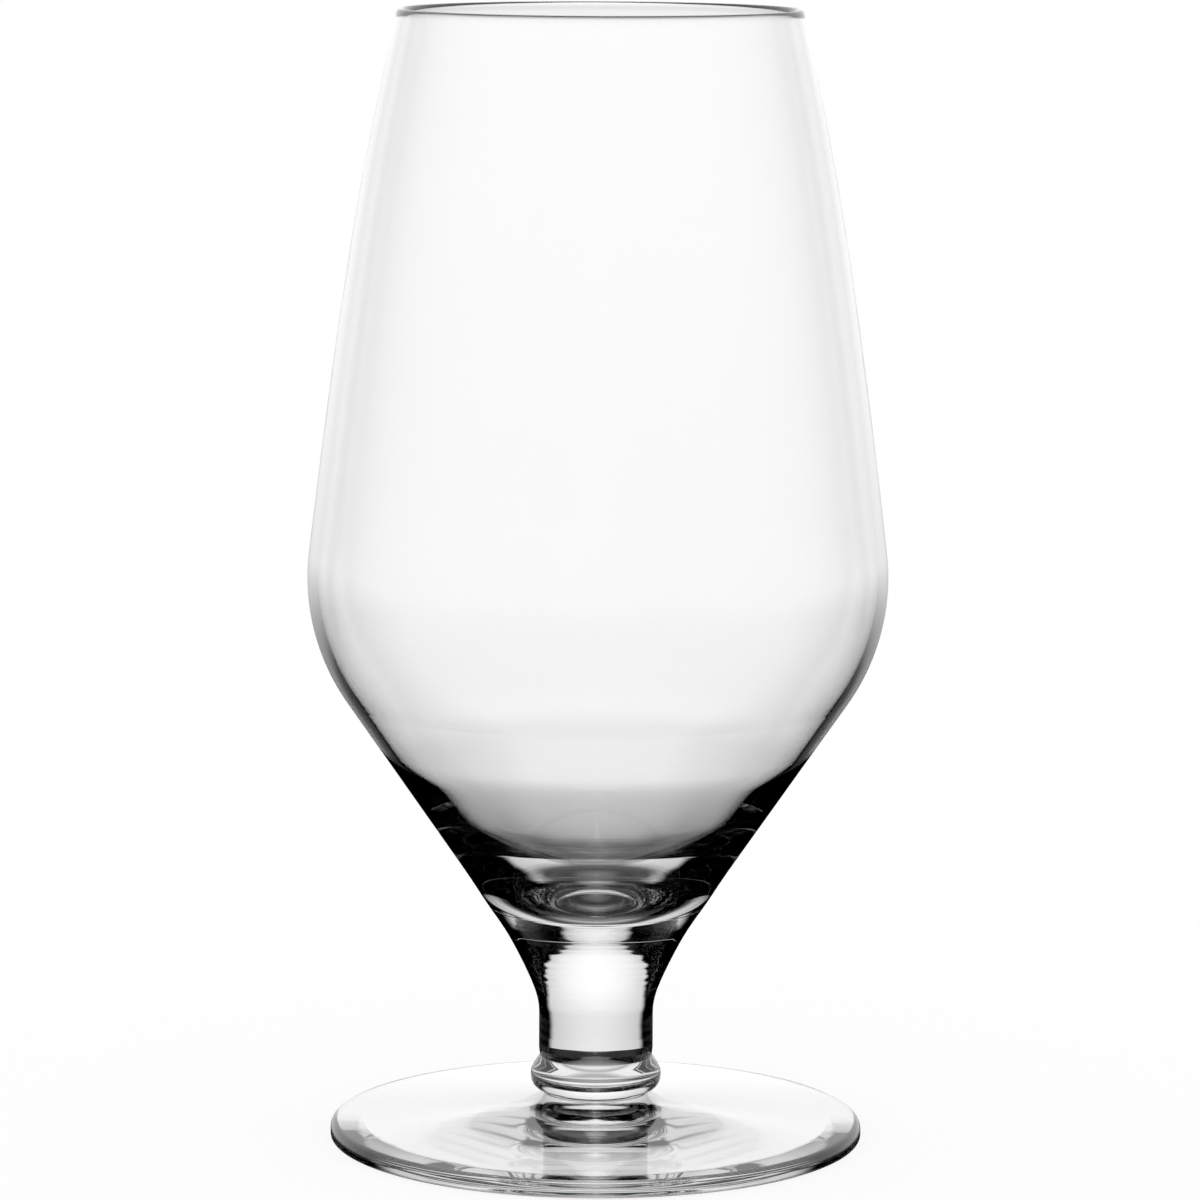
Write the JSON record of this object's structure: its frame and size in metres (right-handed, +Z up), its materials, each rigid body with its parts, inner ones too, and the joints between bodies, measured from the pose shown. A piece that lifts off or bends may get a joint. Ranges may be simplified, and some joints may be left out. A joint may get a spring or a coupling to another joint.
{
  "type": "pilsner glass",
  "caption": "Clear stemmed beer glass: tall bowl with a narrow mouth and a conical base, short flared stem, bead collar and round foot.",
  "frame": {"origin": "on the table, at the middle of the foot's rest ring", "axes": "+Z up along the axis of revolution, from the foot to the lip; X and Y are free"},
  "size_m": [0.0842, 0.0842, 0.165],
  "materials": {
    "clear_glass": "clear, fire-polished"
  },
  "bodies": {
    "root": {"bowl": "clear_glass", "stem": "clear_glass", "collar": "clear_glass", "foot": "clear_glass"}
  },
  "joints": []
}
